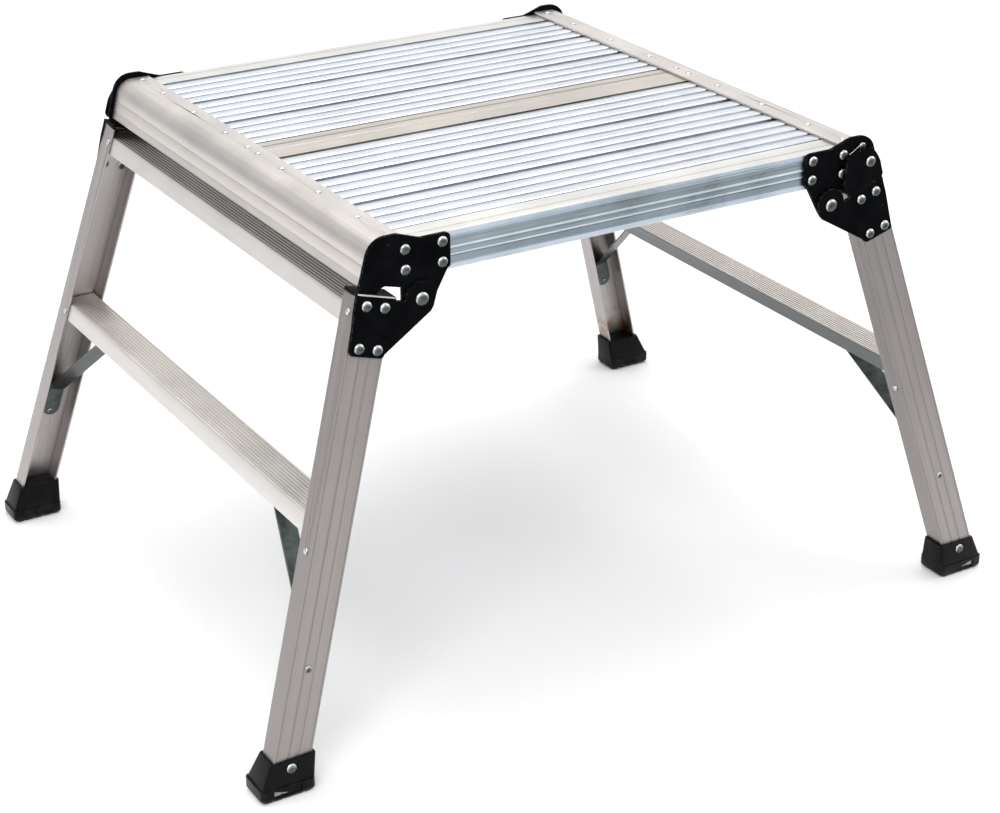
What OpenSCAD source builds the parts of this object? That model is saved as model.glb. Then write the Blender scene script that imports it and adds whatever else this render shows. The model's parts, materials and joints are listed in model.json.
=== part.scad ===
// Folding work platform bench: a ribbed aluminium deck on two hinged leg frames.
// Left is -X, right is +X, front is -Y, rear is +Y and the feet stand on Z = 0.
// The left end is the right end turned half a turn about Z, so one set of shapes serves both.

/* [Deck] */
// height of the walking surface above the floor
deck_h = 527; // [450:1:620]
// length over the two end noses
deck_l = 611.6; // [560:0.2:700]
// depth over the two side rails
deck_d = 600; // [560:1:640]
// height of rails, beam and planks
rail_h = 38.6; // [30:0.2:50]
// width of each side rail
rail_w = 29.5; // [24:0.5:34]
// clear width between the two inner planks, holding the double beam
beam_bay = 60.2; // [50:0.2:76]
// open slot in front of the beam
beam_slot = 4.2; // [2:0.1:6]
// sunk strip behind the beam
beam_groove = 6; // [3:0.1:8]
// planks on each side of the beam
side_planks = 3; // [3:1:3]
// raised ribs on each plank
rib_count = 4; // [3:1:5]
// narrow groove between two ribs
rib_groove = 3; // [2:0.5:5]
// height of the ribs above the plank skin
rib_h = 2.2; // [1:0.1:3]
// width of the sloped shoulder along each side of a rib
rib_shoulder = 2.2; // [0.4:0.1:3]
// drop of the shoulder at its outer side
shoulder_drop = 1; // [0.4:0.1:1.5]
// sunk strip between two planks
plank_gap = 7; // [5:0.5:9]
// narrow slot beside each side rail
edge_gap = 4; // [1.5:0.1:4]
// wall of the deck extrusions
deck_t = 2; // [1.5:0.1:3]

/* [End nose] */
// radius of the rounded outer edge
nose_r = 19.5; // [12:0.5:26]
// lean of the outer face from upright, degrees
nose_lean = 15; // [5:1:20]
// top lip above the walking surface
lip_h = 3; // [2:0.1:4]
// distance from the lip edge to the outermost point
lip_reach = 48.3; // [40:0.1:60]
// wall of the nose extrusion
nose_t = 2.2; // [1.6:0.1:3]

/* [Leg frames] */
// lean of each frame from upright when open, degrees
splay = 16.5; // [10:0.5:22]
// lean of each leg towards the front or rear, degrees
toe = 6.3; // [4:0.1:8]
// width of the leg channel
leg_w = 40.3; // [34:0.1:50]
// depth of the leg channel flanges
leg_deep = 24.2; // [18:0.1:32]
// wall of the leg channel
leg_t = 2; // [1.5:0.1:3]
// distance of the leg from the fold pin, across the leg
leg_in = 28.7; // [24:0.1:34]
// height of the step tread above the floor
step_h = 272.5; // [230:0.5:300]
// height of the top rung above the floor
rung_h = 471; // [440:0.5:480]
// height of the step and rung section
tread_t = 19; // [15:0.5:24]
// fine ribs on each tread
tread_ribs = 9; // [6:1:12]
// width of the diagonal brace strip
brace_w = 21; // [16:0.5:26]

/* [Hinges] */
// distance of the fold pin from the middle of the deck
pivot_x = 244.7; // [230:0.1:260]
// distance of the fold pin below the walking surface
pivot_drop = 59.6; // [55:0.1:65]
// thickness of the hinge plates
plate_t = 3; // [2.5:0.1:4]
// running gap between lapped plates
lap = 0.3; // [0.2:0.05:0.5]
// radius of the fold pin
pin_r = 4; // [3:0.1:5]
// thickness of the latch plate
latch_t = 2.5; // [2:0.1:3]

/* [Feet] */
// height of the boot rim above the floor
boot_h = 41; // [34:1:50]
// depth of the sole grooves
sole_cut = 1.5; // [0.5:0.1:3]

/* [Hidden] */
half_d = deck_d / 2;
half_l = deck_l / 2;
pivot_z = deck_h - pivot_drop;
nose_in = half_l - lip_reach;
bar_end = nose_in + 20;
ribs_w = (half_d - rail_w - beam_bay / 2 - edge_gap - 2 * plank_gap) / side_planks;
rib_w = (ribs_w - (rib_count - 1) * rib_groove) / rib_count;
web_y = half_d + plate_t + lap - 0.7;
leg_y = half_d + plate_t + lap;
fold_v = 0.7 / tan(toe);
latch_y = leg_y + plate_t + lap;
leg_out = leg_in + leg_w;
shank_gap = 0.05;
plate_rivet_r = 2.5;
plate_rivets = [[58.1, 12.5], [38, 12.5], [58.1, 53.2], [38, 53.2]];
deck_rivets = [[-24.7, 51.6], [-24.7, 31.1], [15.3, 51.6], [15.3, 31.1]];
brace_u = 49.5;
brace_pin_v = 371;
brace_bend_v = 340;
foot_pin = [49.5, 472];
latch_pin = [47, 40.7];
post_pin = [39, 57.8];
small_r = 2;
front_rung_d = 10;
rear_rung_d = 19;
nose_rivet_x = nose_in + 13;

// ---- helpers -------------------------------------------------------------------------------

// points on a circular arc
function arc_points(c, r, a0, a1, n) =
  [for (i = [0:n]) let (a = a0 + (a1 - a0) * i / n) [c[0] + r * cos(a), c[1] + r * sin(a)]];

// arc that rounds corner b between neighbours a and c
function round_corner(a, b, c, r, n) =
  let (p = (a - b) / norm(a - b), q = (c - b) / norm(c - b), half = acos(p * q) / 2,
       t = r / tan(half), m = (p + q) / norm(p + q), o = b + m * r / sin(half),
       s = b + p * t - o, e = b + q * t - o, a0 = atan2(s[1], s[0]),
       d = atan2(e[1], e[0]) - a0, turn = d > 180 ? d - 360 : (d < -180 ? d + 360 : d))
  arc_points(o, r, a0, a0 + turn, n);

// outline from [x, y, corner radius] triples
function outline(p, n = 6) =
  [for (i = [0:len(p) - 1])
    let (k = len(p), a = p[(i + k - 1) % k], b = p[i], c = p[(i + 1) % k])
    each (b[2] <= 0 ? [[b[0], b[1]]] : round_corner([a[0], a[1]], [b[0], b[1]], [c[0], c[1]], b[2], n))];

// point of the open leg frame, across u and down v from the fold pin, in deck directions
function frame_point(u, v) = [u * cos(splay) + v * sin(splay), u * sin(splay) - v * cos(splay)];

// distance down the leg at which a level surface of height h lies, at u across the leg
function level_v(h, u) = (pivot_z - h + u * sin(splay)) / cos(splay);

// thickens a drawing in the X-Z plane from y0 towards +Y
module slab(y0, t) { translate([0, y0 + t, 0]) rotate([90, 0, 0]) linear_extrude(t) children(); }

// drives a bar section drawn in Y-Z along X
module bar(len) { translate([-len / 2, 0, 0]) rotate([90, 0, 90]) linear_extrude(len) children(); }

// right end of the deck, origin on the fold pin line
module right_end() { translate([pivot_x, 0, pivot_z]) children(); }

// right leg frame: x across the leg, -z down the leg, origin on the fold pin line
module right_frame() { right_end() rotate([0, -splay, 0]) children(); }

// half a turn about Z makes the left end
module left_side() { rotate([0, 0, 180]) children(); }

// front face to rear face
module rear_of() { mirror([0, 1, 0]) children(); }

// along a front leg: origin on the outer face of its web
module front_leg_axes() { translate([0, -web_y, 0]) rotate([-toe, 0, 0]) children(); }

// spot on the leg web, -y pointing out
module on_web(u, v) { front_leg_axes() translate([u, 0, -v]) children(); }

// spot on the outboard or inboard flange of a leg, -y pointing out
module on_flange(v, d, outboard) {
  front_leg_axes() translate([outboard ? leg_out : leg_in, d, -v])
    rotate([0, 0, outboard ? 90 : -90]) children();
}

// round hole along Y
module hole(r, y0, y1) { translate([0, y0, 0]) rotate([-90, 0, 0]) cylinder(r = r, h = y1 - y0, $fn = 32); }

// closed rivet: domed head on the -y side, shank through grip, tail behind it
module rivet(head_r, head_h, shank_r, grip, tail_r = 0, tail_h = 1.6, mouth = 0) {
  rim = head_h * 0.22;
  a0 = mouth > 0 ? asin(mouth / head_r) : 0;
  dome = [for (i = [0:5]) let (a = a0 + (90 - a0) * i / 5)
    [head_r * sin(a), -rim - (head_h - rim) * cos(a)]];
  eye = mouth > 0 ? [[0, -head_h * 0.35], [mouth, -head_h * 0.35]] : [];
  tail = tail_r > 0 ? [[shank_r, grip], [tail_r, grip], [tail_r, grip + tail_h * 0.6],
    [tail_r - 0.8, grip + tail_h], [0, grip + tail_h]] : [[shank_r, grip], [0, grip]];
  rotate([-90, 0, 0]) rotate_extrude($fn = 32)
    polygon(concat(eye, dome, [[head_r, 0], [shank_r, 0]], tail));
}

// ---- deck extrusions -----------------------------------------------------------------------

// side rail section: outer face at y = 0 with sunk bands, body towards +y, top at z = 0
module rail_section() {
  difference() {
    polygon([[0.8, 0], [0, -0.8], [0, -6.9], [0.8, -6.9], [0.8, -16.1], [0, -16.1], [0, -18.1],
      [0.8, -18.1], [0.8, -23.6], [0, -23.6], [0, -25.3], [0.8, -25.3], [0.8, -33.4],
      [0, -33.4], [0, -rail_h], [rail_w, -rail_h], [rail_w, 0]]);
    translate([deck_t + 0.8, -rail_h + deck_t]) square([rail_w - 2 * deck_t - 0.8, rail_h - 2 * deck_t]);
  }
}

// side rail, drilled for its hinge plate and nose rivets
module side_rail() {
  difference() {
    translate([0, -half_d, deck_h]) bar(2 * bar_end) rail_section();
    for (s = [-1, 1]) {
      for (p = deck_rivets) translate([s * (pivot_x + p[0]), 0, pivot_z + p[1]])
        hole(plate_rivet_r + shank_gap, -half_d - 1, -half_d + 5);
      nose_rivet_hole(s, -half_d + rail_w / 2 - 2.7);
    }
  }
}

// hole for one nose rivet, straight down through lip and skin
module nose_rivet_hole(s, y) {
  translate([s * nose_rivet_x, y, deck_h - 8]) cylinder(r = small_r + shank_gap, h = 16, $fn = 32);
}

// beam section: two boxes side by side with a raised seam, and a ledge on the rear side
module beam_section() {
  y0 = -beam_bay / 2 + beam_slot;
  y1 = beam_bay / 2 - beam_groove;
  m = (y0 + y1) / 2;
  difference() {
    union() {
      translate([y0, -rail_h]) square([y1 - y0, rail_h - 0.5]);
      for (y = [y0, m + 1.1]) translate([y, -1]) square([m - y0 - 1.1, 1]);
      translate([m - 0.5, -1]) square([1, 1]);
      translate([y1 - 0.1, -6.5]) square([beam_groove - 0.2, 2]);
    }
    for (y = [y0 + deck_t, m + 0.6]) translate([y, -rail_h + deck_t])
      square([m - y0 - deck_t - 0.6, rail_h - 2 * deck_t]);
  }
}

module centre_beam() {
  color("gainsboro") difference() {
    translate([0, 0, deck_h]) bar(2 * bar_end) beam_section();
    for (s = [-1, 1], y = [-12, 12]) nose_rivet_hole(s, y);
  }
}

// plank section: ribbed skin on two edge webs and a middle web, ledge on the +y side
module plank_section(ledge) {
  skin = -rib_h - 1.6;
  union() {
    translate([0, skin]) square([ribs_w, 1.6]);
    for (i = [0:rib_count - 1]) translate([i * (rib_w + rib_groove), skin])
      polygon([[0, 0], [rib_w, 0], [rib_w, 1.6 + rib_h - shoulder_drop], [rib_w - rib_shoulder, 1.6 + rib_h],
        [rib_shoulder, 1.6 + rib_h], [0, 1.6 + rib_h - shoulder_drop]]);
    for (y = [0, ribs_w - 1.5]) translate([y, -rail_h]) square([1.5, rail_h - 3]);
    translate([ribs_w / 2 - 6, -rail_h]) square([1.5, rail_h - 3]);
    translate([0, -rail_h]) square([9, 1.6]);
    translate([ribs_w - 9, -rail_h]) square([9, 1.6]);
    translate([ribs_w - 0.1, -6.8]) square([ledge + 0.1, 2]);
  }
}

// plank k counted outwards from the beam, relieved under the nose lips; drawn on the rear half
module plank(k) {
  y0 = beam_bay / 2 + k * (ribs_w + plank_gap);
  difference() {
    translate([0, y0, deck_h]) bar(2 * bar_end)
      plank_section(k == side_planks - 1 ? edge_gap - 0.4 : plank_gap - 0.4);
    for (s = [-1, 1]) {
      nose_rivet_hole(s, y0 + ribs_w / 2);
      translate([s * (nose_in + 14.7), y0 + ribs_w / 2, deck_h + 0.4])
        cube([30, ribs_w + 2, 1], center = true);
    }
  }
}

// right nose profile in X-Z about the walking surface: lip, rounded edge, leaning face, bottom lip
module nose_section() {
  drop = rail_h + 0.2 + nose_t;
  cx = half_l + 0.2 - (nose_r / cos(nose_lean) + (drop + lip_h - nose_r) * tan(nose_lean));
  cz = lip_h - nose_r;
  foot_x = cx + nose_r / cos(nose_lean) + (drop + cz) * tan(nose_lean);
  r_in = nose_r - nose_t;
  foot_in = cx + r_in / cos(nose_lean) + (drop + cz - nose_t) * tan(nose_lean);
  polygon(concat(
    [[nose_in, 0.1], [nose_in, lip_h - 0.8], [nose_in + 0.8, lip_h]],
    arc_points([cx, cz], nose_r, 90, nose_lean, 14),
    [[foot_x - 0.6, -drop + 2], [foot_x - 2.2, -drop], [nose_in + 3, -drop], [nose_in + 3, nose_t - drop],
     [foot_in, nose_t - drop]],
    arc_points([cx, cz], r_in, nose_lean, 90, 14),
    [[bar_end + 1.5, lip_h - nose_t], [bar_end + 1, 0.1]]));
}

module nose() {
  color("silver") difference() {
    translate([0, 0, deck_h]) slab(-half_d + 0.05, deck_d - 0.1) nose_section();
    for (y = nose_rivet_rows()) nose_rivet_hole(1, y);
    for (z = [-20, -32]) translate([half_l - 0.2 - (rail_h + nose_t + z) * tan(nose_lean), 0, deck_h + z])
      rotate([0, nose_lean, 0]) translate([-0.2, -half_d - 1, 0]) cube([3, deck_d + 2, 1.4]);
  }
}

// nose rivet positions across the deck
function nose_rivet_rows() = concat(
  [for (s = [-1, 1]) s * (half_d - rail_w / 2 + 2.7)], [-12, 12],
  [for (s = [-1, 1], k = [0:side_planks - 1]) s * (beam_bay / 2 + ribs_w / 2 + k * (ribs_w + plank_gap))]);

module nose_rivet_set() {
  color("lightgray") for (y = nose_rivet_rows()) translate([nose_rivet_x, y, deck_h + lip_h + 0.02])
    rotate([-90, 0, 0]) rivet(3.3, 1.4, small_r, lip_h + 4.25, 2.9, 1.4);
}

// ---- hinge plates and latch ----------------------------------------------------------------

// deck plate outline about the fold pin, for the front right corner, with a window above the leg plate
function deck_plate_outline(latched) = let (w = latched ? 12.5 : 19.5) concat(
  outline([[-33.7, 24.4, 3], [-33.7, 60.1, 6], [-1.2, 60.1, 14], [15.3, 65.6, 14], [24, 68.6, 14],
    [52.1, 68.6, 21.6], [65.2, 20.6, 1.5]]),
  [frame_point(66.9, 0.7), frame_point(48, 0.7), frame_point(44.5, -5.4), frame_point(41, -7.6),
   [w, 8.4 + w * tan(splay)], [w, -5]],
  arc_points([0, 0], 15.2, -40, -147, 10));

// deck plate; only a plate with a latch has the holes for it
module deck_plate(latched) {
  color("black") difference() {
    right_end() slab(-half_d - plate_t, plate_t) polygon(deck_plate_outline(latched));
    right_end() {
      hole_at([0, 0], pin_r);
      if (latched) { hole_at(latch_pin, 3); hole_at(post_pin, 2); }
      for (p = deck_rivets) hole_at(p, plate_rivet_r);
    }
  }
}

// clearance hole for a shank of radius r through the front hinge stack
module hole_at(p, r) { translate([p[0], 0, p[1]]) hole(r + shank_gap, -half_d - 14, -half_d + 1); }

// leg plate outline: head round the fold pin, body on the leg
function leg_plate_outline() = concat(
  arc_points([0, 0], 17.5, -14, 150, 22), [[-15.2, -6.5], [-13.3, -11.4]],
  outline([[29.5, -61, 4], [66.5, -61, 4], [70.2, -20, 3], [70.5, -1, 0],
    [27.7, -1, 0], [27.7, -4.2, 0]], 4));

module leg_plate() {
  color("black") difference() {
    union() {
      slab(-leg_y - plate_t, plate_t) intersection() {
        polygon(leg_plate_outline());
        translate([-30, -fold_v - 0.02]) square([120, 60]);
      }
      front_leg_axes() slab(-plate_t - 0.02, plate_t) intersection() {
        polygon(leg_plate_outline());
        translate([-30, -80]) square([120, 80 - fold_v]);
      }
      translate([27.7, -leg_y - plate_t, -4]) cube([42.8, plate_t + 22, 3]);
    }
    hole(pin_r + shank_gap, -leg_y - 8, -leg_y + 1);
    for (p = plate_rivets) on_web(p[0], p[1]) hole(plate_rivet_r + shank_gap, -8, 1);
  }
}

module leg_plate_rivet_set() {
  color("silver") for (p = plate_rivets) on_web(p[0], p[1]) translate([0, -plate_t - 0.05, 0])
    rivet(5.4, 3, plate_rivet_r, plate_t + leg_t + 0.1, 4);
}

module deck_plate_rivet_pair() {
  color("silver") right_end() for (p = deck_rivets) translate([p[0], -half_d - plate_t - 0.02, p[1]])
    rivet(5.4, 3, plate_rivet_r, plate_t + deck_t + 0.85, 4);
}

// fold pin with a broad head over both plates
module fold_pin() {
  color("silver") right_end() translate([0, -leg_y - plate_t - lap, 0])
    rivet(7, 3.4, pin_r, 2 * plate_t + 2 * lap + 0.05, 6.2, 2.4);
}

// latch plate outline about the fold pin
function latch_outline() = outline([[14.2, 12, 1.5], [15.8, 47.4, 3], [35.5, 56.5, 2], [49.5, 55.6, 4],
  [56, 47.4, 4], [60.5, 40.4, 4], [65.4, 25.2, 3], [64.2, 20.2, 2], [48.5, 17, 3], [26.4, 3.8, 1]]);

module latch() {
  color("black") right_end() difference() {
    union() {
      slab(-latch_y - latch_t, latch_t) polygon(latch_outline());
      translate([frame_point(24.3, 3.2)[0], 0, frame_point(24.3, 3.2)[1]]) rotate([0, -splay, 0])
        translate([0, -latch_y - 0.1, 0]) cube([2.7, 3.1, 5.6]);
    }
    translate([latch_pin[0], 0, latch_pin[1]]) hole(3 + shank_gap, -latch_y - 6, -latch_y + 1);
  }
}

// latch pin: spacer collar between deck plate and latch
module latch_pin_part() {
  grip = latch_y - half_d + latch_t + lap;
  color("silver") right_end() translate([latch_pin[0], -latch_y - latch_t - lap, latch_pin[1]]) {
    rivet(6, 3, 3, grip + 0.05, 4.8, 2);
    rotate([-90, 0, 0]) translate([0, 0, latch_t + 2 * lap]) difference() {
      cylinder(r = 5, h = latch_y - half_d - plate_t - lap, $fn = 32);
      translate([0, 0, -1]) cylinder(r = 2.9, h = 8, $fn = 32);
    }
  }
}

module spring_post() {
  color("silver") right_end() translate([post_pin[0], -half_d - plate_t - 2.85, post_pin[1]])
    rivet(2.95, 0.6, 2, plate_t + 2.8);
}

// wire from a to b with a ball at b
module wire(a, b, r) {
  d = b - a;
  translate(a) rotate([0, acos(d[2] / norm(d)), atan2(d[1], d[0])]) cylinder(r = r, h = norm(d), $fn = 24);
  translate(b) sphere(r = r + 0.08, $fn = 24);
}

// torsion spring: two coils round the post, one leg along the latch edge, one behind the latch
module latch_spring() {
  r = 0.6;
  c = 2.75;
  y1 = -half_d - plate_t - 0.75;
  y2 = y1 - 1.35;
  w = 0.5;
  color("gray") right_end() union() {
    for (y = [y1, y2]) translate([post_pin[0], y, post_pin[1]]) rotate([90, 0, 0])
      rotate_extrude($fn = 32) translate([c, 0]) circle(r = r, $fn = 24);
    wire([post_pin[0] + c, y1, post_pin[1]], [post_pin[0] + c, y2, post_pin[1]], w);
    wire([post_pin[0], y2, post_pin[1] + c], [33, y2 - 0.3, 57.9], w);
    wire([33, y2 - 0.3, 57.9], [26, -latch_y + 1.3, 53.4], w);
    wire([26, -latch_y + 1.3, 53.4], [21.6, -latch_y + 1.2, 51.2], w);
    wire([post_pin[0], y1, post_pin[1] - c], [40.5, y1, 50], w);
  }
}

// ---- leg frames ----------------------------------------------------------------------------

// leg channel section: web outer face on y = 0, flanges towards +y
module leg_section() {
  difference() {
    translate([leg_in, 0]) square([leg_w, leg_deep]);
    translate([leg_in + leg_t, leg_t]) square([leg_w - 2 * leg_t, leg_deep]);
    for (u = [leg_in + 14.3, leg_in + 25.3]) translate([u - 0.9, -0.1]) square([1.8, 0.7]);
    translate([leg_out - 2.6, -0.1]) square([0.8, 0.5]);
    translate([leg_in + 1.8, -0.1]) square([0.8, 0.5]);
  }
}

// flange rivets of the front and rear legs: [down the leg, from the web, outboard]
function flange_spots(rear) = rear
  ? [[21, rear_rung_d, true], [17, rear_rung_d, false],
    [233, rear_rung_d, true], [223, rear_rung_d, false]]
  : [[21, front_rung_d, true], [17, front_rung_d, false],
    [255, front_rung_d, true], [246.5, front_rung_d, false]];

module leg(rear) {
  color("darkgray") difference() {
    front_leg_axes() translate([0, 0, -540]) linear_extrude(540 - 4.4) leg_section();
    for (p = plate_rivets) on_web(p[0], p[1]) hole(plate_rivet_r + shank_gap, -1, 3);
    on_web(brace_u, brace_pin_v) hole(small_r + shank_gap, -1, 3);
    on_web(foot_pin[0], foot_pin[1]) hole(2.4 + shank_gap, -1, 3);
    for (p = flange_spots(rear)) on_flange(p[0], p[1], p[2]) hole(small_r + shank_gap, -1, 3);
    rotate([0, splay, 0]) translate([-200, -600, -pivot_z - 200]) cube([500, 600, 206.5]);
  }
}

// point on a tread surface at u across the leg, sunk below its level top
function tread_point(h, u, sink) = [u, -level_v(h, u) - sink];

// step and rung section across the frame: level tread, walls along the leg
module tread_section(h) {
  a = leg_in + leg_t + 0.15;
  b = leg_out - leg_t - 0.15;
  va = level_v(h, a);
  vb = level_v(h, b);
  deep = tread_t / cos(splay);
  k = tan(splay);
  step_u = (b - a - 7) / (tread_ribs - 1);
  difference() {
    polygon(concat(
      [[a, -va - 1.6], tread_point(h, a + 1, 0.7)],
      [for (i = [0:tread_ribs - 1]) let (u = a + 1.6 + i * step_u) each
        [tread_point(h, u, 0.7), tread_point(h, u + 0.2, 0),
          tread_point(h, u + 1.5, 0), tread_point(h, u + 1.7, 0.7)]],
      [tread_point(h, b - 3.4, 0.7), tread_point(h, b - 2.6, 0), tread_point(h, b - 0.9, 0.1),
       [b - 0.2, -vb - 0.9], [b, -vb - 2], [b, -vb - deep], [a, -va - deep]]));
    polygon([[a + 2, -va - 2.2 - 2 * k], [b - 2, -vb - 2.2 + 2 * k],
      [b - 2, -vb - deep + 2.2 + 2 * k], [a + 2, -va - deep + 2.2 - 2 * k]]);
  }
}

// cuts shared by rung and step: shank holes of both ends
module tread_holes(front_v, rear_v) {
  for (p = front_v) on_flange(p[0], p[1], p[2]) hole(small_r + shank_gap, -1, 6);
  rear_of() for (p = rear_v) on_flange(p[0], p[1], p[2]) hole(small_r + shank_gap, -1, 6);
}

module top_rung() {
  color("silver") difference() {
    slab(-299.6, 599.2) tread_section(rung_h);
    tread_holes([for (i = [0:1]) flange_spots(false)[i]], [for (i = [0:1]) flange_spots(true)[i]]);
  }
}

module step() {
  color("silver") difference() {
    slab(-323.5, 647) tread_section(step_h);
    tread_holes([], [for (i = [2:3]) flange_spots(true)[i]]);
    for (y = [-1, 1]) brace_tab_spot(y) cylinder(r = small_r + shank_gap, h = 12, center = true, $fn = 32);
    cleat_spot() cylinder(r = small_r + shank_gap, h = 12, center = true, $fn = 32);
  }
}

// rivet spots on the level underside of the step, z pointing up
module brace_tab_spot(y) {
  rotate([0, splay, 0]) translate([under_x(), y * 204, step_h - tread_t - pivot_z]) children();
}
module cleat_spot() {
  rotate([0, splay, 0]) translate([under_x(), -311.5, step_h - tread_t - pivot_z]) children();
}
function under_x() = frame_point(brace_u, level_v(step_h - tread_t, brace_u))[0];

// cleat inside the front leg: cross piece under the step, wings on both flanges
module step_cleat() {
  a = leg_in + leg_t + 0.1;
  b = leg_out - leg_t - 0.1;
  va = level_v(step_h - tread_t - 0.1, a);
  vb = level_v(step_h - tread_t - 0.1, b);
  k = tan(splay);
  color("gray") difference() {
    slab(-325.8, 20) polygon([[a, -va], [b, -vb], [b, -vb - 20], [b - 2, -vb - 20],
      [b - 2, -vb - 2.2 + 2 * k], [a + 2, -va - 2.2 - 2 * k], [a + 2, -va - 22], [a, -va - 22]]);
    for (i = [2:3]) on_flange(flange_spots(false)[i][0], flange_spots(false)[i][1], flange_spots(false)[i][2])
      hole(small_r + shank_gap, -1, 6);
    cleat_spot() cylinder(r = small_r + shank_gap, h = 12, center = true, $fn = 32);
  }
}

// brace strip: riveted tab on the web, diagonal, level tab under the step
module brace() {
  u0 = brace_u - brace_w / 2;
  y_low = web_y - leg_t - 0.1 + brace_bend_v * tan(toe);
  y_top = 214;
  v_top = 232;
  run = y_low - y_top;
  rise = brace_bend_v - v_top;
  n = 2 / sqrt(run * run + rise * rise);
  below = step_h - tread_t - pivot_z;
  color("dimgray") difference() {
    union() {
      on_web(0, 0) slab(leg_t + 0.05, 2) union() {
        translate([u0, -brace_pin_v + 5]) square([brace_w, brace_pin_v - 5 - brace_bend_v]);
        translate([brace_u, -brace_pin_v + 5]) circle(r = brace_w / 2, $fn = 48);
      }
      difference() {
        translate([u0, 0, 0]) rotate([90, 0, 90]) linear_extrude(brace_w)
          polygon([[-y_low, -brace_bend_v - 1.2],
            [-y_low, -brace_bend_v + 0.6], [-y_top + 8, -v_top + 8 * rise / run + 0.6],
          [-y_top + 8 + rise * n, -v_top + 8 * rise / run - run * n + 0.6],
          [-y_low + rise * n, -brace_bend_v - run * n + 0.6]]);
        rotate([0, splay, 0]) translate([0, -260, below - 0.05]) cube([200, 260, 60]);
      }
      rotate([0, splay, 0]) translate([under_x() - brace_w / 2, -222, below - 2.05]) cube([brace_w, 30, 2]);
    }
    on_web(brace_u, brace_pin_v) hole(small_r + shank_gap, -1, 6);
    brace_tab_spot(-1) cylinder(r = small_r + shank_gap, h = 12, center = true, $fn = 32);
  }
}

// small rivets of one frame: rung, step, cleat and brace joints
module frame_rivet_set() {
  color("lightgray") {
    for (p = flange_spots(false)) on_flange(p[0], p[1], p[2]) translate([0, -0.02, 0])
      rivet(3.4, 1.6, small_r, leg_t + 2.35, 2.9, 1.4);
    rear_of() for (p = flange_spots(true)) on_flange(p[0], p[1], p[2]) translate([0, -0.02, 0])
      rivet(3.4, 1.6, small_r, leg_t + 2.35, 2.9, 1.4);
    on_web(brace_u, brace_pin_v) translate([0, -0.02, 0]) rivet(3.4, 1.6, small_r, 4.2, 2.9, 1.4);
    rear_of() on_web(brace_u, brace_pin_v) translate([0, -0.02, 0]) rivet(3.4, 1.6, small_r, 4.2, 2.9, 1.4);
    for (y = [-1, 1]) brace_tab_spot(y) translate([0, 0, -2.1]) rotate([90, 0, 0])
      rivet(3.4, 1.6, small_r, 4.5, 2.9, 1.4);
    cleat_spot() translate([0, 0, -2.45]) rotate([90, 0, 0]) rivet(3.4, 1.6, small_r, 4.85, 2.9, 1.4);
  }
}

// ---- feet ----------------------------------------------------------------------------------

// level slab with rounded corners between x0..x1 and y0..y1
module pad(x0, x1, y0, y1, r, z, t) {
  translate([0, 0, z]) linear_extrude(t)
    polygon(outline([[x0, y0, r], [x1, y0, r], [x1, y1, r], [x0, y1, r]], 4));
}

// boot over the end of the right front leg, drawn standing on the floor
module foot() {
  rim_v = level_v(boot_h, brace_u);
  yr = web_y + rim_v * tan(toe);
  x0 = pivot_x + frame_point(leg_in, level_v(boot_h, leg_in))[0] - 3;
  x1 = pivot_x + frame_point(leg_out, level_v(boot_h, leg_out))[0] + 3;
  color("black") difference() {
    union() {
      hull() {
        pad(x0, x1, -yr - 3, -yr + leg_deep + 3, 3, boot_h - 0.1, 0.1);
        pad(x0 + 2.5, x1 + 12, -yr - 4.5, -yr + leg_deep + 8.5, 4, 15, 0.1);
      }
      hull() {
        pad(x0 + 2.5, x1 + 13.5, -yr - 5.5, -yr + leg_deep + 10, 5, 4, 11.05);
        pad(x0 + 5.5, x1 + 10.5, -yr - 3, -yr + leg_deep + 7, 4, 0, 0.1);
      }
    }
    right_frame() foot_pocket();
    translate([x0 + 18, -yr - 8, 3.5]) cube([x1 - x0 - 18, 4, 9]);
    for (i = [0:3]) translate([x0 + 14 + i * 11, -yr - 20, -1]) cube([3, 70, 1 + sole_cut]);
    right_frame() on_web(foot_pin[0], foot_pin[1]) { hole(2.4 + shank_gap, -12, 14); hole(5.6, -12, -1.8); }
  }
}

// slot for the leg channel, ending above the sole
module foot_pocket() {
  c = 0.15;
  difference() {
    front_leg_axes() translate([0, 0, -540]) linear_extrude(140) difference() {
      translate([leg_in - c, -c]) square([leg_w + 2 * c, leg_deep + 2 * c]);
      translate([leg_in + leg_t + c, leg_t + c]) square([leg_w - 2 * leg_t - 2 * c, leg_deep + 4]);
    }
    rotate([0, splay, 0]) translate([-200, -600, -pivot_z - 200]) cube([500, 600, 206]);
  }
}

// hollow-headed rivet through the boot, web and plug
module foot_rivet() {
  color("silver") right_frame() on_web(foot_pin[0], foot_pin[1]) translate([0, -1.85, 0])
    rivet(5.2, 2.2, 2.4, 9.7, mouth = 1.7);
}

// ---- named parts ---------------------------------------------------------------------------

module front_side_rail() { color("lightsteelblue") side_rail(); }
module rear_side_rail() { color("lightsteelblue") rear_of() side_rail(); }
module right_nose() { nose(); }
module left_nose() { left_side() nose(); }
module front_right_deck_plate() { deck_plate(true); }
module rear_left_deck_plate() { left_side() deck_plate(true); }
module rear_right_deck_plate() { rear_of() deck_plate(false); }
module front_left_deck_plate() { left_side() rear_of() deck_plate(false); }
module right_nose_rivets() { nose_rivet_set(); }
module left_nose_rivets() { left_side() nose_rivet_set(); }
module front_deck_plate_rivets() { deck_plate_rivet_pair(); left_side() rear_of() deck_plate_rivet_pair(); }
module rear_deck_plate_rivets() { rear_of() deck_plate_rivet_pair(); left_side() deck_plate_rivet_pair(); }
module front_fold_pins() { fold_pin(); left_side() rear_of() fold_pin(); }
module rear_fold_pins() { rear_of() fold_pin(); left_side() fold_pin(); }
module latch_pins() { latch_pin_part(); left_side() latch_pin_part(); }
module spring_posts() { spring_post(); left_side() spring_post(); }
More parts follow.
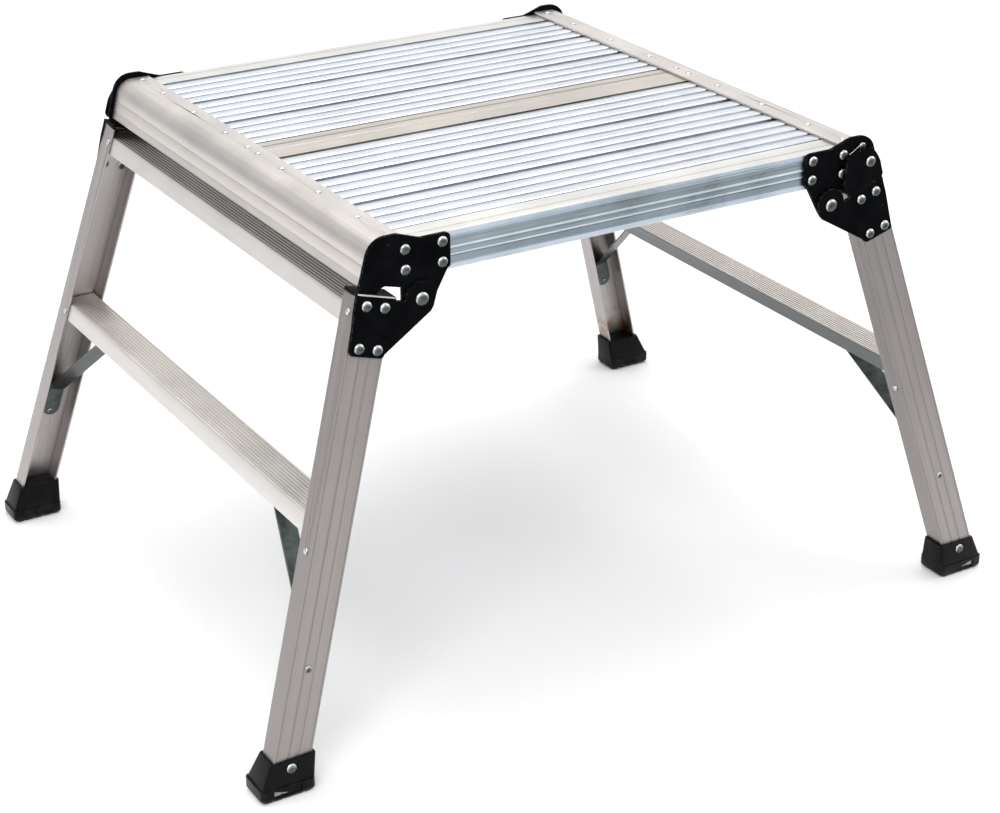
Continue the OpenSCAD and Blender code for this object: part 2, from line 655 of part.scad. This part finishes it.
module right_latch_spring() { latch_spring(); }
module left_latch_spring() { left_side() latch_spring(); }
module right_latch() { latch(); }
module left_latch() { left_side() latch(); }
module right_front_leg() { right_frame() leg(false); }
module right_rear_leg() { right_frame() rear_of() leg(true); }
module left_front_leg() { left_side() rear_of() right_frame() leg(false); }
module left_rear_leg() { left_side() right_frame() leg(true); }
module right_front_leg_plate() { right_frame() leg_plate(); }
module right_rear_leg_plate() { right_frame() rear_of() leg_plate(); }
module left_front_leg_plate() { left_side() rear_of() right_frame() leg_plate(); }
module left_rear_leg_plate() { left_side() right_frame() leg_plate(); }
module right_top_rung() { right_frame() top_rung(); }
module left_top_rung() { left_side() rear_of() right_frame() top_rung(); }
module right_step() { right_frame() step(); }
module left_step() { left_side() rear_of() right_frame() step(); }
module right_step_cleat() { right_frame() step_cleat(); }
module left_step_cleat() { left_side() rear_of() right_frame() step_cleat(); }
module right_front_brace() { right_frame() brace(); }
module right_rear_brace() { right_frame() rear_of() brace(); }
module left_front_brace() { left_side() rear_of() right_frame() brace(); }
module left_rear_brace() { left_side() right_frame() brace(); }
module right_front_foot() { foot(); }
module right_rear_foot() { rear_of() foot(); }
module left_front_foot() { left_side() rear_of() foot(); }
module left_rear_foot() { left_side() foot(); }
module right_leg_plate_rivets() { right_frame() { leg_plate_rivet_set(); rear_of() leg_plate_rivet_set(); } }
module left_leg_plate_rivets() { left_side() right_leg_plate_rivets(); }
module right_frame_rivets() { right_frame() frame_rivet_set(); }
module left_frame_rivets() { left_side() rear_of() right_frame_rivets(); }
module right_foot_rivets() { foot_rivet(); rear_of() foot_rivet(); }
module left_foot_rivets() { left_side() right_foot_rivets(); }

front_side_rail();
rear_side_rail();
centre_beam();
color("lightblue") rear_of() plank(2);  // deck_plank_1
color("lightblue") rear_of() plank(1);  // deck_plank_2
color("lightblue") rear_of() plank(0);  // deck_plank_3
color("lightblue") plank(0);  // deck_plank_4
color("lightblue") plank(1);  // deck_plank_5
color("lightblue") plank(2);  // deck_plank_6
left_nose();
right_nose();
front_left_deck_plate();
front_right_deck_plate();
rear_left_deck_plate();
rear_right_deck_plate();
left_nose_rivets();
right_nose_rivets();
front_deck_plate_rivets();
rear_deck_plate_rivets();
front_fold_pins();
rear_fold_pins();
latch_pins();
spring_posts();
left_latch_spring();
right_latch_spring();
left_latch();
right_latch();
left_front_leg();
left_rear_leg();
right_front_leg();
right_rear_leg();
left_front_leg_plate();
left_rear_leg_plate();
right_front_leg_plate();
right_rear_leg_plate();
left_top_rung();
right_top_rung();
left_step();
right_step();
left_step_cleat();
right_step_cleat();
left_front_brace();
left_rear_brace();
right_front_brace();
right_rear_brace();
left_front_foot();
left_rear_foot();
right_front_foot();
right_rear_foot();
left_leg_plate_rivets();
right_leg_plate_rivets();
left_frame_rivets();
right_frame_rivets();
left_foot_rivets();
right_foot_rivets();
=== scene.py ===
"""Looks of the folding work platform: materials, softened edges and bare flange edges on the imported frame."""

import json
import math

import bmesh
import bpy
from mathutils import Matrix, Vector

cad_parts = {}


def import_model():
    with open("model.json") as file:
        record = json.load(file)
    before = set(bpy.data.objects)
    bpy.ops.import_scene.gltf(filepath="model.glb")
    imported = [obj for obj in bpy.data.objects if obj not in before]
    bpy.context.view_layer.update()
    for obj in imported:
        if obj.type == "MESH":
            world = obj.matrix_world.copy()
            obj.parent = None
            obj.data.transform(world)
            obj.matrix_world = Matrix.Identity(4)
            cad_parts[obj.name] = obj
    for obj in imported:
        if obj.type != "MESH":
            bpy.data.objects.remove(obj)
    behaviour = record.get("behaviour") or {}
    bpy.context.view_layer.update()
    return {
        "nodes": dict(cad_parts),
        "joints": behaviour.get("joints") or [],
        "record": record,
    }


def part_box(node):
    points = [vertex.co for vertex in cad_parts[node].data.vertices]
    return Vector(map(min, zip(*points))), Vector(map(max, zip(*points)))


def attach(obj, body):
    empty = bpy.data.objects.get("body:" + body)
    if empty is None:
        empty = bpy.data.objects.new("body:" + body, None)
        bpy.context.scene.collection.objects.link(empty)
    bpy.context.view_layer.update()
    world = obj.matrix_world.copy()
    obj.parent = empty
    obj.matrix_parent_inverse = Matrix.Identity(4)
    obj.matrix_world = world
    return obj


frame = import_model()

MM = 0.001
X_AXIS = Vector((1, 0, 0))
Y_AXIS = Vector((0, 1, 0))
NODES = frame["nodes"]
SLOT_OF = {part["node"]: part["material_slot"] for part in frame["record"]["subparts"]}

# ---- driving dimensions, read off the frame ---------------------------------------------------

DECK_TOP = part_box("deck_plank_4")[1].z
RAIL_H = DECK_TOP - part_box("front_side_rail")[0].z
SPLAY = math.radians(16.5)
TOE = math.radians(6.3)
PIVOT = Vector(frame["joints"][0]["pos_m"])
HEAD_FACE = 306.3 * MM  # outer face of the leg plate head round the fold pin


# ---- node trees -------------------------------------------------------------------------------


class Tree:
    """A short way to write one material's node tree."""

    def __init__(self, name):
        self.material = bpy.data.materials.new(name)
        self.material.use_nodes = True
        self.nodes = self.material.node_tree.nodes
        self.links = self.material.node_tree.links
        self.shader = self.nodes["Principled BSDF"]
        self.place = self.add("TexCoord").outputs["Object"]

    def add(self, kind, settings=None, **inputs):
        node = self.nodes.new("ShaderNode" + kind)
        for key, value in (settings or {}).items():
            setattr(node, key, value)
        for key, value in inputs.items():
            self.put(node.inputs[key.replace("_", " ")], value)
        return node

    def put(self, socket, value):
        if isinstance(value, bpy.types.NodeSocket):
            self.links.new(value, socket)
        else:
            socket.default_value = value

    def math(self, operation, a, b=0.0, clamp=False):
        node = self.add("Math", {"operation": operation, "use_clamp": clamp})
        self.put(node.inputs[0], a)
        self.put(node.inputs[1], b)
        return node.outputs[0]

    def spread(self, value, low, high, to_low, to_high):
        """Maps low..high of a value to to_low..to_high, clamped."""
        node = self.add("MapRange", {"clamp": True}, Value=value)
        for key, number in (("From Min", low), ("From Max", high), ("To Min", to_low), ("To Max", to_high)):
            node.inputs[key].default_value = number
        return node.outputs["Result"]

    def mix(self, factor, a, b, blend="MIX"):
        node = self.add("Mix", {"data_type": "RGBA", "blend_type": blend, "clamp_factor": True})
        self.put(node.inputs["Factor"], factor)
        for socket, value in ((node.inputs[6], a), (node.inputs[7], b)):
            self.put(socket, value if isinstance(value, bpy.types.NodeSocket) else (*value, 1))
        return node.outputs[2]

    def noise(self, scale, detail=3.0, rough=0.5, place=None):
        node = self.add("TexNoise", Vector=place or self.place, Scale=scale, Detail=detail, Roughness=rough)
        return node.outputs["Fac"]

    def lines(self, along, length, width, detail=4.0):
        """Noise drawn out into lines of about that length and width, in metres, in one direction."""
        mapping = self.add("Mapping", {"vector_type": "TEXTURE"}, Vector=self.place)
        mapping.inputs["Rotation"].default_value = X_AXIS.rotation_difference(along).to_euler()
        mapping.inputs["Scale"].default_value = (length, width, width)
        return self.noise(1.0, detail, 0.6, mapping.outputs[0])

    def height(self):
        return self.add("SeparateXYZ", Vector=self.place).outputs["Z"]

    def ramp(self, value, stops):
        """Colour by value, from (position, colour) stops."""
        node = self.add("ValToRGB", Fac=value)
        band = node.color_ramp
        while len(band.elements) > 1:
            band.elements.remove(band.elements[-1])
        band.elements[0].position, band.elements[0].color = stops[0][0], (*stops[0][1], 1)
        for position, colour in stops[1:]:
            band.elements.new(position).color = (*colour, 1)
        return node.outputs["Color"]

    def edge_mask(self, radius, low=0.02, high=0.2):
        """1 along edges, 0 on faces: how far the rounded normal turns from the true one."""
        soft = self.add("Bevel", {"samples": 4}, Radius=radius).outputs["Normal"]
        hard = self.add("NewGeometry").outputs["Normal"]
        dot = self.add("VectorMath", {"operation": "DOT_PRODUCT"})
        self.links.new(soft, dot.inputs[0])
        self.links.new(hard, dot.inputs[1])
        return self.spread(dot.outputs["Value"], 1 - low, 1 - high, 0, 1)

    def crevice(self, reach):
        """1 deep in grooves and corners, 0 in the open."""
        node = self.add("AmbientOcclusion", {"samples": 4}, Distance=reach)
        return self.spread(node.outputs["AO"], 0.35, 0.9, 1, 0)

    def facing(self, axis):
        """How far a face points along an axis of the object, from -1 to 1."""
        split = self.add("SeparateXYZ", Vector=self.nodes["Texture Coordinate"].outputs["Normal"])
        return split.outputs[axis]

    def bump(self, height, strength, distance, under=None):
        node = self.add("Bump", Height=height, Strength=strength, Distance=distance)
        if under:
            self.links.new(under, node.inputs["Normal"])
        return node.outputs["Normal"]

    def finish(self, colour, rough, normal, **constant):
        self.put(self.shader.inputs["Base Color"], colour)
        self.put(self.shader.inputs["Roughness"], rough)
        self.put(self.shader.inputs["Normal"], normal)
        for key, value in constant.items():
            self.shader.inputs[key.replace("_", " ")].default_value = value
        return self.material


# fresh metal (also the painted highlight on edges), dirt with painted shade for corners, rust, and the heights
# between which the stain fades out
BRIGHT, DIRT_AND_PAINTED_SHADE, RUST = (0.98, 0.98, 0.97), (0.09, 0.088, 0.085), (0.30, 0.17, 0.09)
STAIN_TOP, STAIN_FULL = 0.09, 0.05


def aluminium(
    name,
    colour,
    along,
    rough=(0.26, 0.42),
    streak=0.16,
    cloud=0.1,
    relief=0.1,
    edge=0.35,
    edge_reach=0.0007,
    painted_edge_tone=BRIGHT,
    grime_and_painted_shade=0.5,
    stain=False,
):
    """Extruded aluminium: die lines along the profile, clouds of tone, hairline scratches, a painted highlight
    on edges (painted shade where the edge tone is dark) and painted shade with some grime in crevices. colour
    is one colour, or a function of the tree that gives a colour socket."""
    t = Tree(name)
    base = colour(t) if callable(colour) else colour
    fine = t.lines(along, 0.16, 0.0005)
    broad = t.lines(along, 0.6, 0.006, 2.0)
    clouds = t.noise(14, 4, 0.55)
    lined = t.spread(fine, 0.3, 0.7, 1 - streak, 1 + streak * 0.25)
    banded = t.spread(broad, 0.3, 0.7, -streak * 0.5, 0)
    clouded = t.spread(clouds, 0.3, 0.7, -cloud, cloud * 0.4)
    tone = t.math("ADD", lined, t.math("ADD", banded, clouded))
    tint = t.add("CombineXYZ", X=tone, Y=tone, Z=tone).outputs[0]
    body = t.mix(1.0, base, tint, "MULTIPLY")
    askew = (along + Vector((0.12, 0.2, 0.08))).normalized()
    hair = t.spread(t.lines(askew, 0.035, 0.00035, 1.0), 0.72, 0.78, 0, 1)
    body = t.mix(t.math("MULTIPLY", hair, 0.3), body, BRIGHT)
    # painted highlight along edges with the default bright tone; a darker edge tone paints shade on the edges
    # instead
    body = t.mix(t.math("MULTIPLY", t.edge_mask(edge_reach), edge), body, painted_edge_tone)
    # painted shade: ambient occlusion darkens grooves and corners towards a dark colour, which also stands for
    # some grime
    body = t.mix(t.math("MULTIPLY", t.crevice(0.004), grime_and_painted_shade), body, DIRT_AND_PAINTED_SHADE)
    if stain:
        low = t.spread(t.height(), STAIN_TOP, STAIN_FULL, 0, 1)
        rusty = t.math("MULTIPLY", low, t.spread(t.noise(60, 5), 0.42, 0.6, 0, 0.9))
        body = t.mix(rusty, body, RUST)
    dulling = t.spread(clouds, 0.35, 0.65, -0.04, 0.06)
    finish = t.math("ADD", t.spread(fine, 0.3, 0.7, *rough), dulling)
    normal = t.bump(fine, relief, 0.0003, t.bump(broad, relief * 0.8, 0.001))
    return t.finish(body, finish, normal, Metallic=1.0, IOR=1.45)


def depth_colour(stops):
    """Colour by depth below the walking surface, from (millimetres, colour) stops, top first: painted shade in
    the plank grooves and painted reflection bands on the rails.
    """
    lowest = RAIL_H + 2 * MM

    def colour(t):
        depth = t.spread(t.height(), DECK_TOP - lowest, DECK_TOP + 1 * MM, 0, 1)
        span = lowest + 1 * MM
        return t.ramp(depth, [((lowest - d * MM) / span, c) for d, c in reversed(stops)])

    return colour


# plank ribs are bright; painted shade makes their sloped shoulders lilac and the floors of the grooves
# grey-blue, darker further down
PLANK_TONES = [
    (0.0, (0.77, 0.81, 0.85)),
    (0.15, (0.75, 0.795, 0.84)),
    (0.5, (0.62, 0.62, 0.685)),
    (1.2, (0.62, 0.615, 0.685)),
    (2.6, (0.72, 0.715, 0.78)),
    (4.6, (0.50, 0.53, 0.60)),
    (38.0, (0.42, 0.45, 0.50)),
]
# the side rail: cream top, then painted reflections: light blue bands, sunk grey-green bands and bright ridge
# highlights
REFLECTED_LIGHT_BLUE, REFLECTED_GREY_GREEN, RIDGE_HIGHLIGHT = (0.74, 0.84, 0.97), (0.37, 0.45, 0.48), (0.92, 0.96, 1.0)
RAIL_TONES = [
    (0.0, (0.83, 0.82, 0.78)),
    (0.7, (0.80, 0.80, 0.78)),
    (1.0, REFLECTED_LIGHT_BLUE),
    (6.6, (0.64, 0.74, 0.88)),
    (7.3, REFLECTED_GREY_GREEN),
    (15.6, (0.42, 0.50, 0.55)),
    (16.3, RIDGE_HIGHLIGHT),
    (17.9, RIDGE_HIGHLIGHT),
    (18.4, (0.35, 0.44, 0.51)),
    (23.2, (0.43, 0.54, 0.62)),
    (23.8, RIDGE_HIGHLIGHT),
    (25.1, RIDGE_HIGHLIGHT),
    (25.6, (0.34, 0.42, 0.48)),
    (32.9, (0.46, 0.56, 0.66)),
    (33.7, (0.80, 0.88, 0.97)),
    (38.0, (0.86, 0.92, 0.99)),
]


def tread_colour(side, top, light, rib_gap_shade, shade):
    """A rung or step: its ribbed top with painted shade between the ribs, and a wall with painted shade on the
    inboard side.
    """

    def colour(t):
        height = t.height()
        flat = t.spread(t.facing("Z"), 0.6, 0.9, 0, 1)
        # painted shade between the ribs, below the tread top
        between = t.spread(height, top - 0.6 * MM, top - 0.25 * MM, 1, 0)
        tread = t.mix(between, light, tuple(rib_gap_shade * c for c in light))
        # painted shade on walls that face inboard
        inboard = t.spread(t.math("MULTIPLY", t.facing("X"), -side), 0.3, 0.7, 0, 1)
        wall = t.mix(inboard, (0.83, 0.80, 0.77), shade)
        return t.mix(flat, wall, tread)

    return colour


def black_coat():
    """Satin powder coat: orange peel, dust, and bare steel where the edges are rubbed."""
    t = Tree("black_coated_steel")
    peel = t.noise(1500, 2)
    patches = t.noise(45, 5, 0.6)
    rub = t.math("MULTIPLY", t.edge_mask(0.0008, 0.05, 0.35), t.spread(t.noise(240, 4), 0.5, 0.62, 0, 1))
    nick = t.spread(t.noise(420, 2, 0.4), 0.77, 0.82, 0, 0.5)
    colour = t.mix(t.spread(patches, 0.35, 0.7, 0, 1), (0.0012, 0.0013, 0.0018), (0.003, 0.0033, 0.0042))
    colour = t.mix(t.math("MULTIPLY", t.math("ADD", rub, nick, True), 0.6), colour, (0.36, 0.36, 0.35))
    rough = t.spread(patches, 0.3, 0.7, 0.32, 0.46)
    return t.finish(colour, rough, t.bump(peel, 0.10, 0.0002), Metallic=0.0, IOR=1.3, Specular_IOR_Level=0.05)


def zinc(name, dark, light, rough, edge, centre=None):
    """Zinc plate: faint crystals, blotches and a lighter edge, a painted highlight; rivet heads get a duller
    centre, a painted dark reflection.
    """
    t = Tree(name)
    spangle = t.add("TexVoronoi", Vector=t.place, Scale=380.0).outputs["Distance"]
    blotch = t.noise(90, 5, 0.6)
    colour = t.mix(t.spread(blotch, 0.3, 0.7, 0, 1), dark, light)
    # painted highlight: a lighter colour along the edges
    colour = t.mix(t.math("MULTIPLY", t.edge_mask(0.0006), 0.55), colour, edge)
    if centre:
        # painted reflection: faces turned along Y and not up take the dark centre colour
        across = t.math("ABSOLUTE", t.facing("Y"))
        tilt = t.math("ADD", across, t.math("MULTIPLY", t.facing("Z"), -0.35))
        colour = t.mix(t.spread(tilt, 0.66, 0.93, 0, 0.92), colour, centre)
    dulling = t.spread(spangle, 0, 0.6, 0, 0.06)
    finish = t.math("ADD", t.spread(blotch, 0.3, 0.7, rough, rough + 0.14), dulling)
    normal = t.bump(spangle, 0.05, 0.0003, t.bump(t.noise(700, 2), 0.08, 0.0002))
    return t.finish(colour, finish, normal, Metallic=1.0, IOR=1.45)


def boot_plastic():
    """Moulded black plastic: spark grain, scuffed grey edges and dust low down."""
    t = Tree("black_plastic")
    grain = t.noise(1800, 2)
    patches = t.noise(55, 5, 0.6)
    dust = t.math("MULTIPLY", t.spread(t.height(), 0.022, 0.002, 0, 1), t.spread(patches, 0.4, 0.7, 0, 0.25))
    worn = t.edge_mask(0.0016, 0.03, 0.3)
    scuff = t.math("MULTIPLY", worn, t.spread(t.noise(170, 4), 0.45, 0.65, 0.1, 0.8))
    colour = t.mix(t.spread(patches, 0.3, 0.7, 0, 1), (0.0018, 0.0019, 0.0024), (0.0045, 0.0048, 0.006))
    colour = t.mix(scuff, colour, (0.022, 0.022, 0.025))
    colour = t.mix(dust, colour, (0.10, 0.095, 0.088))
    rough = t.spread(patches, 0.3, 0.7, 0.24, 0.38)
    normal = t.bump(grain, 0.22, 0.0003, t.bump(patches, 0.08, 0.001))
    return t.finish(colour, rough, normal, Metallic=0.0, IOR=1.38, Specular_IOR_Level=0.14)


def leg_direction(side, end):
    """Way down a leg: side is 1 for right, -1 for left; end is -1 for front, 1 for rear."""
    down = Matrix.Rotation(-SPLAY, 3, "Y") @ Matrix.Rotation(-TOE, 3, "X") @ Vector((0, 0, -1))
    return Vector((side * down.x, -end * down.y, down.z))


# one anodised grey for all legs; the darker front copy and the lighter rear copy are painted light and shade
LEG_GREY_PAINTED_BY_END = {"front": (0.36, 0.333, 0.323), "rear": (0.50, 0.47, 0.46)}
CREAM, INBOARD_PAINTED_SHADE = (0.73, 0.69, 0.655), (0.19, 0.20, 0.20)
COAT = black_coat()
BOOT = boot_plastic()
# rivet zinc: its last colour is the painted dark reflection in the rivet heads' centres
ZINC = zinc("zinc_steel", (0.56, 0.57, 0.56), (0.78, 0.79, 0.78), 0.20, (0.9, 0.9, 0.9), (0.03, 0.042, 0.039))
BARE = zinc("bare_edge", (0.40, 0.42, 0.43), (0.58, 0.60, 0.61), 0.28, (0.7, 0.7, 0.7))
# the brace's pale edge colour is a painted highlight
DARK_ZINC = zinc("dark_zinc_steel", (0.045, 0.055, 0.05), (0.11, 0.125, 0.12), 0.26, (0.62, 0.68, 0.60))
# planks: painted shade by depth in the grooves, and a painted shade tone on the rounded rib shoulders
PLANK = aluminium("bright_deck_planks", depth_colour(PLANK_TONES), X_AXIS, (0.22, 0.36), 0.07, 0.03,
    edge=0.3, painted_edge_tone=(0.60, 0.60, 0.67), grime_and_painted_shade=0)
RAIL = aluminium("bright_deck_rails", depth_colour(RAIL_TONES), X_AXIS, (0.26, 0.40), 0.12, 0.06)
BEAM = aluminium("mill_beam", (0.66, 0.615, 0.555), X_AXIS, (0.28, 0.42), 0.14, 0.08)
NOSE = aluminium("mill_nose", CREAM, Y_AXIS, (0.30, 0.46), 0.13, 0.08)
RUNG_TOP, STEP_TOP = (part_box(node)[1].z for node in ("right_top_rung", "right_step"))
TREADS = {
    f"{side}_{bar}": aluminium(
        f"mill_{side}_{bar}",
        tread_colour(sx, top, light, rib_gap_shade, INBOARD_PAINTED_SHADE),
        Y_AXIS,
        (0.32, 0.46),
        0.08,
        0.05,
        edge=0.2,
    )
    for side, sx in (("left", -1), ("right", 1))
    for bar, top, light, rib_gap_shade in (
        # the top rung's dark tread colour is dirt with painted shade from the nose above
        ("top_rung", RUNG_TOP, (0.30, 0.30, 0.27), 0.4),
        ("step", STEP_TOP, (0.93, 0.865, 0.81), 0.78),
    )
}
LEGS = {
    f"{side}_{end}_leg": aluminium(
        f"anodised_{side}_{end}_leg",
        LEG_GREY_PAINTED_BY_END[end],
        leg_direction(sx, sy),
        (0.36, 0.5),
        0.14,
        0.06,
        edge=0.08,
        grime_and_painted_shade=0.65,
        stain=(side, end) == ("right", "rear"),
    )
    for side, sx in (("left", -1), ("right", 1))
    for end, sy in (("front", -1), ("rear", 1))
}


def material_of(node):
    """The finish of a CAD node, from its record slot and the way its profile runs."""
    slot = SLOT_OF[node]
    if slot == "bright_deck":
        return PLANK if "plank" in node else RAIL
    if slot == "mill_aluminium":
        return BEAM if node == "centre_beam" else NOSE if "nose" in node else TREADS[node]
    if slot == "anodised_leg":
        return LEGS[node]
    return {
        "black_coated_steel": COAT,
        "zinc_steel": ZINC,
        "dark_zinc_steel": DARK_ZINC,
        "black_plastic": BOOT,
    }[slot]


# ---- CAD nodes: finish and softened edges -------------------------------------------------------

EDGE = {
    "bright_deck": 0.25,
    "mill_aluminium": 0.3,
    "anodised_leg": 0.35,
    "black_coated_steel": 0.35,
    "zinc_steel": 0.12,
    "dark_zinc_steel": 0.3,
    "black_plastic": 1.0,
}


def dress(node, obj):
    """Gives a CAD node its material and a small rounding on its sharp edges."""
    mesh = obj.data
    if "custom_normal" in mesh.attributes:
        mesh.attributes.remove(mesh.attributes["custom_normal"])
    mesh.shade_smooth()
    mesh.materials.clear()
    mesh.materials.append(material_of(node))
    weld = obj.modifiers.new("weld", "WELD")
    weld.merge_threshold = 0.002 * MM
    bevel = obj.modifiers.new("edges", "BEVEL")
    bevel.width = EDGE[SLOT_OF[node]] * MM
    bevel.segments = 2
    bevel.limit_method = "ANGLE"
    bevel.angle_limit = math.radians(32)
    bevel.harden_normals = True


for node, obj in NODES.items():
    dress(node, obj)

# ---- extra fittings ----------------------------------------------------------------------------


def add_piece(name, data, material, body):
    obj = bpy.data.objects.new(name, data)
    bpy.context.scene.collection.objects.link(obj)
    data.materials.append(material)
    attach(obj, body)
    return obj


def corners():
    """Side name, x sign, end name, y sign of the four corners."""
    for side, sx in (("left", -1), ("right", 1)):
        for end, sy in (("front", -1), ("rear", 1)):
            yield side, sx, end, sy


# the bare steel edge of each leg plate's top flange, a thin rounded strip
EDGE_FROM, EDGE_TO, EDGE_HIGH, EDGE_LOW, EDGE_PROUD, EDGE_TAPER = 28.2, 70.2, 0.95, 2.5, 0.2, 0.8


def across_frame(u, v):
    """Point of the right leg frame, u across and v down from its fold pin, in deck directions (mm)."""
    return u * math.cos(SPLAY) + v * math.sin(SPLAY), u * math.sin(SPLAY) - v * math.cos(SPLAY)


def flange_edge(side, sx, end, sy):
    bm = bmesh.new()
    outline = [
        (EDGE_FROM, EDGE_HIGH),
        (EDGE_TO, EDGE_HIGH),
        (EDGE_TO - EDGE_TAPER, EDGE_LOW),
        (EDGE_FROM + EDGE_TAPER, EDGE_LOW),
    ]
    corner_points = [across_frame(u, v) for u, v in outline]
    pin_x, pin_z = PIVOT.x / MM, PIVOT.z / MM
    loops = []
    for y in (HEAD_FACE / MM - 0.05, HEAD_FACE / MM + EDGE_PROUD):
        places = [Vector((sx * (pin_x + x), sy * y, pin_z + z)) * MM for x, z in corner_points]
        loops.append([bm.verts.new(place) for place in places])
    low, high = loops
    bm.faces.new(low)
    bm.faces.new(list(reversed(high)))
    for k in range(4):
        bm.faces.new((low[k], high[k], high[(k + 1) % 4], low[(k + 1) % 4]))
    bmesh.ops.recalc_face_normals(bm, faces=bm.faces)
    bmesh.ops.bevel(bm, geom=list(bm.edges), offset=0.08 * MM, segments=2, affect="EDGES", clamp_overlap=True)
    mesh = bpy.data.meshes.new("edge")
    bm.to_mesh(mesh)
    bm.free()
    add_piece(f"{side}_{end}_flange_edge", mesh, BARE, f"{side}_leg_frame")


for side, sx, end, sy in corners():
    if sx != -sy:  # the latch covers it there
        flange_edge(side, sx, end, sy)

# ---- floor, light and camera --------------------------------------------------------------------


def floor():
    bm = bmesh.new()
    bmesh.ops.create_grid(bm, x_segments=1, y_segments=1, size=30)
    mesh = bpy.data.meshes.new("floor")
    bm.to_mesh(mesh)
    bm.free()
    obj = bpy.data.objects.new("floor", mesh)
    bpy.context.scene.collection.objects.link(obj)
    t = Tree("pale_floor")
    tone = t.mix(t.spread(t.noise(0.7, 2), 0.3, 0.7, 0.0, 1.0), (0.86, 0.86, 0.86), (0.88, 0.88, 0.88))
    mesh.materials.append(t.finish(tone, 0.9, t.bump(t.noise(300, 2), 0.02, 0.0003)))


def area_light(name, place, size, watts, target=(0, 0, 0.3), colour=(1, 1, 1)):
    light = bpy.data.lights.new(name, "AREA")
    light.shape = "RECTANGLE"
    light.size, light.size_y = size
    light.energy = watts
    light.color = colour
    obj = bpy.data.objects.new(name, light)
    bpy.context.scene.collection.objects.link(obj)
    obj.location = place
    obj.rotation_euler = (Vector(target) - Vector(place)).to_track_quat("-Z", "Y").to_euler()


def flag():
    """A dark card low in front, seen only in reflections, so that bright metal has something to mirror."""
    bm = bmesh.new()
    bmesh.ops.create_grid(bm, x_segments=1, y_segments=1, size=0.5)
    mesh = bpy.data.meshes.new("flag")
    bm.to_mesh(mesh)
    bm.free()
    obj = bpy.data.objects.new("flag", mesh)
    bpy.context.scene.collection.objects.link(obj)
    obj.location = (0.9, -1.5, 0.02)
    obj.scale = (1.3, 0.8, 1)
    t = Tree("dark_card")
    tone = t.mix(t.noise(3, 2), (0.03, 0.035, 0.035), (0.06, 0.065, 0.065))
    mesh.materials.append(t.finish(tone, 0.9, t.bump(t.noise(200, 2), 0.02, 0.0003)))
    obj.visible_camera = obj.visible_diffuse = obj.visible_shadow = obj.visible_transmission = False


def world():
    """Soft studio sky: bright overhead, greyer towards the horizon."""
    sky = bpy.data.worlds.new("studio")
    sky.use_nodes = True
    nodes, links = sky.node_tree.nodes, sky.node_tree.links
    coord = nodes.new("ShaderNodeTexCoord")
    split = nodes.new("ShaderNodeSeparateXYZ")
    ramp = nodes.new("ShaderNodeValToRGB")
    links.new(coord.outputs["Generated"], split.inputs[0])
    links.new(split.outputs["Z"], ramp.inputs["Fac"])
    ramp.color_ramp.elements[0].color = (0.55, 0.56, 0.58, 1)
    ramp.color_ramp.elements[1].color = (1.0, 1.0, 1.0, 1)
    ramp.color_ramp.elements[1].position = 0.75
    background = nodes["Background"]
    links.new(ramp.outputs["Color"], background.inputs["Color"])
    background.inputs["Strength"].default_value = 0.95
    bpy.context.scene.world = sky


def camera():
    """The photograph's view: from the front left, above."""
    place = Vector((-1.1986, -2.0263, 1.2798))
    right = Vector((0.855517, -0.517774, -0.001004))
    down = Vector((-0.221227, -0.363778, -0.904834))
    forward = Vector((0.468134, 0.774323, -0.425764))
    data = bpy.data.cameras.new("camera")
    data.lens, data.sensor_width = 81.23, 36
    data.clip_end = 100
    obj = bpy.data.objects.new("camera", data)
    bpy.context.scene.collection.objects.link(obj)
    turn = Matrix((right, -down, -forward)).transposed().to_4x4()
    obj.matrix_world = Matrix.Translation(place) @ turn
    bpy.context.scene.camera = obj


floor()
world()
area_light("key", (-2.2, -2.6, 3.0), (2.2, 2.2), 90)
area_light("fill", (3.0, -1.6, 1.8), (2.5, 2.0), 30, colour=(0.93, 0.96, 1.0))
area_light("top", (0.3, 0.8, 3.4), (3.0, 2.0), 60)
area_light("back", (2.4, 3.6, 2.1), (3.4, 1.6), 7, (0.1, 0, 0.5))
flag()
camera()
bpy.context.scene.view_settings.view_transform = "Standard"
